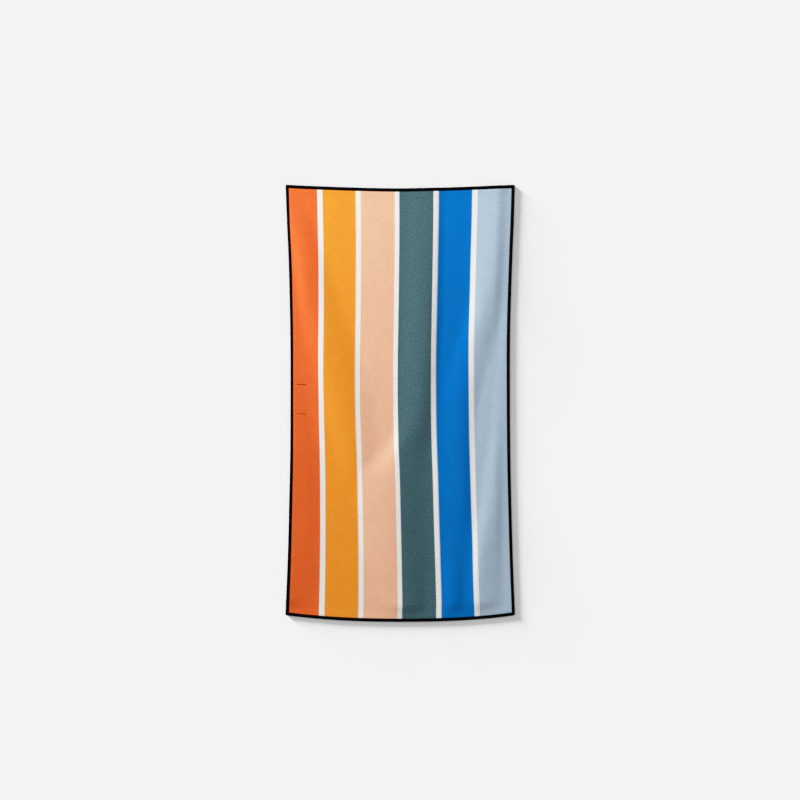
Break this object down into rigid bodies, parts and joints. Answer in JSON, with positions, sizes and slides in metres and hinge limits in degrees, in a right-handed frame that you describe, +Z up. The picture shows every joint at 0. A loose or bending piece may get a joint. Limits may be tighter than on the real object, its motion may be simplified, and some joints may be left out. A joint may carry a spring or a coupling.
{
  "type": "hand towel, laid open",
  "caption": "Rectangular striped microfibre hand towel laid open in soft waves, with a dark overlocked edge.",
  "frame": {"origin": "centre of the towel's outline on the surface that it lies on", "axes": "+X across the towel from the orange stripe to the pale blue one, +Y along its length to the top edge, +Z up from the surface"},
  "size_m": [0.4027, 0.7672, 0.0121],
  "materials": {
    "printed_microfibre": "short-pile microfibre, printed in long stripes",
    "black_thread": "close overlock stitching, matt"
  },
  "bodies": {
    "root": {"towel_cloth": "printed_microfibre", "edge_overlock": "black_thread"}
  },
  "joints": []
}
